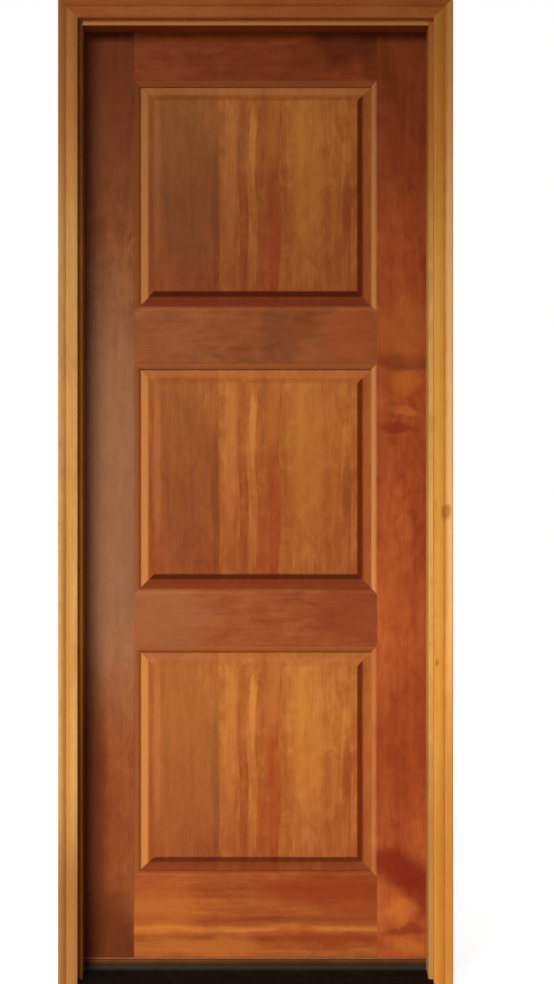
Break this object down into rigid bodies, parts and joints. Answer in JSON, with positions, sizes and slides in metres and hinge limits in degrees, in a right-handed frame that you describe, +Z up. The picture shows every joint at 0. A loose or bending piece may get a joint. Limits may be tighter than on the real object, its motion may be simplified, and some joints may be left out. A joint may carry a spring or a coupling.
{
  "type": "panelled door",
  "caption": "Exterior door of stained hardwood with raised panels in moulded stiles and rails, hung on butt hinges in a rebated frame with mitred casing and a sloping sill.",
  "frame": {"origin": "middle of the sill's underside, in the plane of the wall's outside face, where casing and jambs meet", "axes": "+X to the right as seen from outside, +Y into the building, +Z up"},
  "size_m": [1.0148, 0.1673, 2.5381],
  "materials": {
    "stile_wood": "stained, satin varnish",
    "rail_wood": "stained, satin varnish",
    "panel_wood": "stained, satin varnish",
    "casing_wood": "stained, satin varnish",
    "jamb_wood": "stained, satin varnish",
    "cap_wood": "dark stain",
    "sill_composite": "matte",
    "sill_metal": "dark bronze anodised",
    "seal_rubber": "matte",
    "hinge_bronze": "dark bronze"
  },
  "bodies": {
    "frame": {"hinge_jamb": "jamb_wood", "strike_jamb": "jamb_wood", "head_jamb": "jamb_wood", "left_brickmould": "casing_wood", "right_brickmould": "casing_wood", "head_brickmould": "casing_wood", "sill_core": "sill_composite", "sill_tread": "sill_metal", "sill_cap": "cap_wood", "hinge_side_weatherstrip": "seal_rubber", "strike_side_weatherstrip": "seal_rubber", "head_weatherstrip": "seal_rubber", "frame_hinge_leaves": "hinge_bronze", "hinge_pins": "hinge_bronze"},
    "door": {"hinge_stile": "stile_wood", "lock_stile": "stile_wood", "top_rail": "rail_wood", "upper_middle_rail": "rail_wood", "lower_middle_rail": "rail_wood", "bottom_rail": "rail_wood", "top_panel": "panel_wood", "middle_panel": "panel_wood", "bottom_panel": "panel_wood", "door_sweep": "seal_rubber", "door_hinge_leaves": "hinge_bronze"}
  },
  "joints": [
    {"name": "door_swing", "type": "hinge", "parent": "frame", "child": "door", "pos_m": [-0.4588, 0.1286, 0], "axis": [0, 0, 1], "range_deg": [0, 170]}
  ]
}
